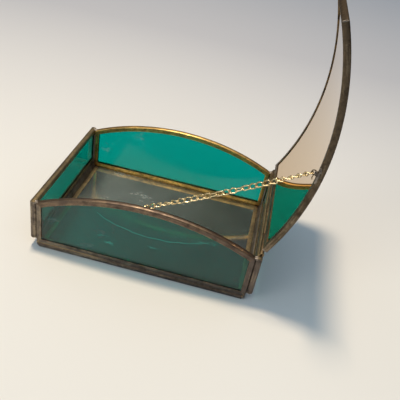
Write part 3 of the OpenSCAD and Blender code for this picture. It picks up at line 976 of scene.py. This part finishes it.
def wire_ring(name):
    """A wire eye whose hole lies along Y, bent round until its ends meet."""
    deselect()
    bpy.ops.mesh.primitive_circle_add(
        vertices=14, radius=EYE_WIRE / 2, fill_type="NGON", location=(EYE_R, 0, 0))
    ring = adopt(name)
    pick(ring, "FACE", lambda f: True)
    bpy.ops.mesh.spin(
        steps=36, angle=math.radians(352), center=(0, 0, 0), axis=(0, 1, 0), use_auto_merge=False)
    done()
    close_up(ring)
    smooth(ring, 60)
    return ring


def wire_tail(start, steps):
    """The wire's loose end, which hangs from an eye in a slow wave."""
    deselect()
    bpy.ops.mesh.primitive_circle_add(vertices=12, radius=EYE_WIRE / 2, fill_type="NGON", location=start)
    tail = adopt("eye_tail")
    pick(tail, "FACE", lambda f: True)
    for step in range(steps):
        sway = 0.18 * MM * math.cos(1.1 * step)
        bpy.ops.mesh.extrude_region_move(TRANSFORM_OT_translate={"value": (sway, 0.05 * MM, -0.5 * MM)})
    bpy.ops.transform.resize(value=(0.5, 0.5, 1))
    done()
    close_up(tail)
    smooth(tail, 50)
    put(tail, HOME)
    return tail


def chain_turn(place):
    """How far the end of a link is turned where it hooks into the next, in radians."""
    for (low, first), (high, last) in zip(CHAIN_TURN, CHAIN_TURN[1:]):
        if place <= high:
            return math.radians(first + (last - first) * (place - low) / (high - low))


def run_matrix(start, end, offset):
    """Sets a link at a distance along the line from start to end."""
    along = (end - start).normalized()
    return HOME @ Matrix.Translation(start + offset * along) @ turned(along, Y)


def make_chain():
    box_eye = joint_place("box_eye_swing")
    fold_1 = joint_place("box_side_fold")
    fold_2 = joint_place("middle_fold")
    fold_3 = joint_place("lid_side_fold")
    lid_eye = joint_place("lid_eye_swing")
    tip = LINK_LEN / 2
    middle_n = 3
    lid_end = BOX_RUN_N + middle_n + 1 + LID_RUN_N
    link_runs = (
        ("box_run", box_eye, fold_1, [FIRST_TIP + tip + k * PITCH for k in range(BOX_RUN_N)], 0, 1),
        ("box_turn", fold_1, fold_2, [tip], BOX_RUN_N, 1),
        ("middle", fold_2, fold_3, [tip - LINK_LEN + PITCH + k * PITCH for k in range(middle_n)],
            BOX_RUN_N + 1, 1),
        ("lid_turn", fold_3, lid_eye, [tip], BOX_RUN_N + middle_n + 1, 1),
        ("lid_run", lid_eye, fold_3, [FIRST_TIP + tip + k * PITCH for k in range(LID_RUN_N)], lid_end, -1),
    )
    master = chain_link()
    for name, start, end, offsets, first, way in link_runs:
        links = []
        for k, offset in enumerate(offsets):
            place = first + way * k
            ends = [chain_turn(place) + math.pi / 2, chain_turn(place + 1) + math.pi]
            link = copy_of(master, f"link_{k}")
            twist(link, *[way * end for end in ends[::way]])
            put(link, run_matrix(start, end, offset))
            links.append(link)
        chain = join(f"curb_chain_{name}", links)
        finish_piece(chain, "stay_" + name, CHAIN_BRASS, ("stay_chain_" + name,))
    bpy.data.objects.remove(master)
    return box_eye, lid_eye


# ---------------------------------------------------------------- solder

def lump(name, at, size, seed, keep_in=True):
    """A blob of solder that has run and set, centred at a place, with a rough skin. size is in mm."""
    deselect()
    bpy.ops.mesh.primitive_ico_sphere_add(subdivisions=4, radius=1)
    piece = adopt(name)
    offset = Vector((seed * 7.3, seed * 3.1, seed * 5.7))
    for vertex in piece.data.vertices:
        swell = 1 + 0.35 * noise.noise(1.3 * vertex.co + offset) + 0.1 * noise.noise(4 * vertex.co + offset)
        vertex.co = swell * MM * vertex.co * Vector(size) + at
        if keep_in:
            vertex.co.x = max(vertex.co.x, -HALF_LEN - CAME_W)
            vertex.co.y = min(max(vertex.co.y, -OUT_Y), OUT_Y)
            vertex.co.z = max(vertex.co.z, 0.05 * MM)
    smooth(piece, 80)
    put(piece, HOME)
    return piece


def end_seam(side):
    """The bead of solder that closes the floor's frame to the foot of an end wall."""
    foot, top = Vector((FLOOR_HALF, 0, FLOOR_W)), Vector((HALF_LEN, 0, END_Z))
    half_y = OUT_Y - 2 * MM
    centre = (foot + top) / 2
    deselect()
    bpy.ops.mesh.primitive_cube_add(size=1, location=centre, scale=(1.6 * MM, 2 * half_y, 1.8 * MM))
    seam = adopt("end_seam")
    for up, target in ((-1, foot), (1, top)):
        pick(seam, "VERT", lambda v: up * (v.co.z - centre.z) > 0)
        bpy.ops.transform.translate(value=target - centre)
        done()
    pick(seam, "EDGE", lambda e: runs(e, Y))
    bpy.ops.mesh.bevel(offset=0.5 * MM, segments=3, profile=0.5)
    done()
    pick(seam, "EDGE", lambda e: runs(e, Y))
    bpy.ops.mesh.subdivide(number_cuts=70)
    done()
    for vertex in seam.data.vertices:
        vertex.co += 0.22 * MM * noise.noise_vector(260 * vertex.co + Vector((0, side * 3.1, 0)))
    smooth(seam, 60)
    if side < 0:
        put(seam, Matrix.Rotation(math.pi, 4, "Z"))
    put(seam, HOME)
    return seam


def make_solder():
    wall_y = (OUT_Y + IN_Y) / 2
    spots = (
        (0.6 * MM, SHOULDER_Z - 0.2 * MM, (2.6, 1.9, 1.3)),
        (0.6 * MM, END_Z + 0.4 * MM, (1.6, 1.7, 1.2)),
        (-1.3 * MM, FLOOR_W / 2 + 0.2 * MM, (1.2, 1.8, 1.5)))
    parts = []
    seed = 1
    for x in (-1, 1):
        parts.append(end_seam(x))
        for y in (-1, 1):
            for out, z, size in spots:
                place = Vector((x * (HALF_LEN + out), y * wall_y, z))
                parts.append(lump(f"lump_{seed}", place, size, seed))
                seed += 1
    piece = join("solder_lumps_box", parts)
    finish_piece(piece, "box", SOLDER)


def lid_lump(name, angle, y, radius, size, seed):
    """A blob of solder on the closed lid. size runs along the arc, across the lid, and outwards."""
    blob = lump(name, Vector(), size, seed, False)
    put(blob, HOME.inverted())
    radial, along = lid_end_frame(angle, 1)
    place = Vector((0, y, ARC_Z)) + radius * radial
    put(blob, Matrix.Translation(place) @ turned(along, radial.cross(along)))
    for vertex in blob.data.vertices:
        vertex.co.y = min(max(vertex.co.y, -LID_Y), LID_Y)
    put(blob, LID_HOME)
    return blob


def make_lid_solder():
    parts = []
    for seed, (angle, inwards, side) in enumerate(
            ((FREE_A, 1, -1), (FREE_A, 1, 1), (HINGE_A, -1, -1), (HINGE_A, -1, 1)), start=41):
        place = angle + inwards * 0.4 * MM / LID_R
        y = side * (LID_Y - 0.35 * MM)
        parts.append(lid_lump(f"bead_{seed}", place, y, LID_R + CAME_W / 2, (0.55, 0.55, 1.9), seed))
    for seed in range(51, 60):
        place = EYE_A + (seed - 55.2) * SMEAR_STEP / LID_R
        radius = LID_R + (0.7 + 0.25 * math.sin(2.3 * seed)) * MM
        parts.append(lid_lump(f"smear_{seed}", place, 0.5 * MM - LID_Y, radius, (1.0, 0.55, 0.85), seed))
    piece = join("solder_lumps_lid", parts)
    finish_piece(piece, "lid", SOLDER)


def make_eyes(box_eye, lid_eye):
    ring = wire_ring("eye_ring")
    box_ring = copy_of(ring, "stay_ring_box")
    put(box_ring, HOME @ Matrix.Translation(box_eye) @ Matrix.Rotation(BOX_RING_TURN, 4, "Y"))
    side = Vector((math.cos(BOX_POST_A), 0, math.sin(BOX_POST_A)))
    post = lump("post_box", box_eye + EYE_R * side - 1.1 * MM * Y, (0.8, 1.3, 0.8), 21)
    eye = join("stay_eye_ring_box", [box_ring, post])
    finish_piece(eye, "box", CHAIN_BRASS, ("stay_eye_box",))
    loop = copy_of(ring, "eye_loop_lid")
    put(loop, HOME @ Matrix.Translation(lid_eye) @ Matrix.Rotation(LID_RING_TURN, 4, "Y"))
    tail = wire_tail(lid_eye + Vector((-0.2 * MM, -0.1 * MM, -EYE_R)), 8)
    lid_ring = join("stay_eye_ring_lid", [loop, tail])
    finish_piece(lid_ring, "lid", HINGE_BRASS, ("stay_eye_lid",))
    outward = (OPEN.to_3x3() @ Z).normalized()
    blob = lump("solder_lump_eye", lid_eye + 1.6 * MM * outward - 0.9 * MM * Y, (1.2, 1.5, 1.8), 31, False)
    for vertex in blob.data.vertices:
        vertex.co.y = max(vertex.co.y, 0.05 * MM - IN_Y)
    finish_piece(blob, "lid", SOLDER)
    bpy.data.objects.remove(ring)


# ---------------------------------------------------------------- the object

make_came()
make_lid_glass()
make_hinge()
box_eye, lid_eye = make_chain()
make_eyes(box_eye, lid_eye)
make_solder()
make_lid_solder()
for name, material in (
        ("front_pane", TEAL), ("back_pane", BACK_TEAL), ("left_pane", SHADED_END_TEAL), ("right_pane", SHADED_END_TEAL),
        ("floor_mirror", FLOOR_MIRROR), ("floor_silvering", BACKING), ("corner_solder", SOLDER),
        ("hinge_pin", HINGE_BRASS)):
    for slot in frame["nodes"][name].material_slots:
        slot.material = material


# ---------------------------------------------------------------- floor, light and camera

# Room: what falls on dull surfaces, what shows at low angles and overhead, and a warm card on one side
ROOM_LIGHT = colour(0.36, 0.5, 0.68)
ROOM_DARK = colour(0.02, 0.02, 0.022)
CEILING = colour(1.0, 0.93, 0.82)
CARD = colour(1.9, 1.5, 1.0)
CARD_WAY = (-0.196, -0.814, 0.546)

CAMERA_LENS = 47.38
CAMERA_PLACE = (BOX_X + 0.055788, -0.338067, 0.268489)
CAMERA_TURN = [math.radians(a) for a in (54.791347, -9.406473, 11.178577)]


def make_floor():
    deselect()
    bpy.ops.mesh.primitive_plane_add(size=6)
    floor = adopt("table_top")
    material, g, shader = new_material("table_paint")
    # Painted shade: the table darkens towards the back, a painted fall-off of the light.
    far = g.spread(g.axes()["Y"], 0.0, 0.5)
    g.feed(shader["Base Color"], g.blend(far, colour(0.73, 0.66, 0.56), colour(0.5, 0.455, 0.42)))
    shader["Roughness"].default_value = 0.75
    shader["Specular IOR Level"].default_value = 0.2
    floor.data.materials.append(material)


def lamp(name, place, target, size, power, tint):
    """A round lamp of a diameter, aimed at a target."""
    light = bpy.data.lights.new(name, "AREA")
    light.shape = "DISK"
    light.size = size
    light.energy = power
    light.color = tint
    holder = bpy.data.objects.new(name, light)
    bpy.context.scene.collection.objects.link(holder)
    holder.location = place
    holder.rotation_euler = (Vector(target) - Vector(place)).to_track_quat("-Z", "Y").to_euler()


def make_light():
    lamp("key_lamp", (-0.2, 0.13, 1.3), (0, 0, 0.05), 0.2, 14.3, (1.0, 0.88, 0.72))
    lamp("fill_lamp", (-1.1, -1.2, 1.1), (0, 0, 0.05), 0.9, 6, (0.8, 0.92, 1.0))
    world = bpy.data.worlds.new("room")
    bpy.context.scene.world = world
    world.use_nodes = True
    g = Graph(world.node_tree)
    paths = g.add("LightPath").outputs
    seen = g.math("MAXIMUM", paths["Is Camera Ray"], paths["Is Glossy Ray"])
    seen = g.math("MAXIMUM", seen, paths["Is Transmission Ray"])
    way = g.add("SeparateXYZ")
    g.feed(way.inputs[0], g.add("TexCoord").outputs["Generated"])
    room = g.blend(g.spread(way.outputs["Z"], 0.76, 0.97), ROOM_DARK, CEILING)
    towards = g.add("VectorMath", operation="DOT_PRODUCT")
    g.feed(towards.inputs[0], g.add("TexCoord").outputs["Generated"])
    g.feed(towards.inputs[1], CARD_WAY)
    room = g.blend(g.spread(towards.outputs["Value"], 0.955, 0.985), room, CARD)
    g.feed(world.node_tree.nodes["Background"].inputs["Color"], g.blend(seen, ROOM_LIGHT, room))


def make_camera():
    camera = bpy.data.cameras.new("camera")
    camera.sensor_width = 36
    camera.lens = CAMERA_LENS
    camera.clip_start = 0.01
    holder = bpy.data.objects.new("camera", camera)
    bpy.context.scene.collection.objects.link(holder)
    holder.location = CAMERA_PLACE
    holder.rotation_euler = CAMERA_TURN
    bpy.context.scene.camera = holder


make_floor()
make_light()
make_camera()
bpy.context.scene.view_settings.view_transform = "Standard"
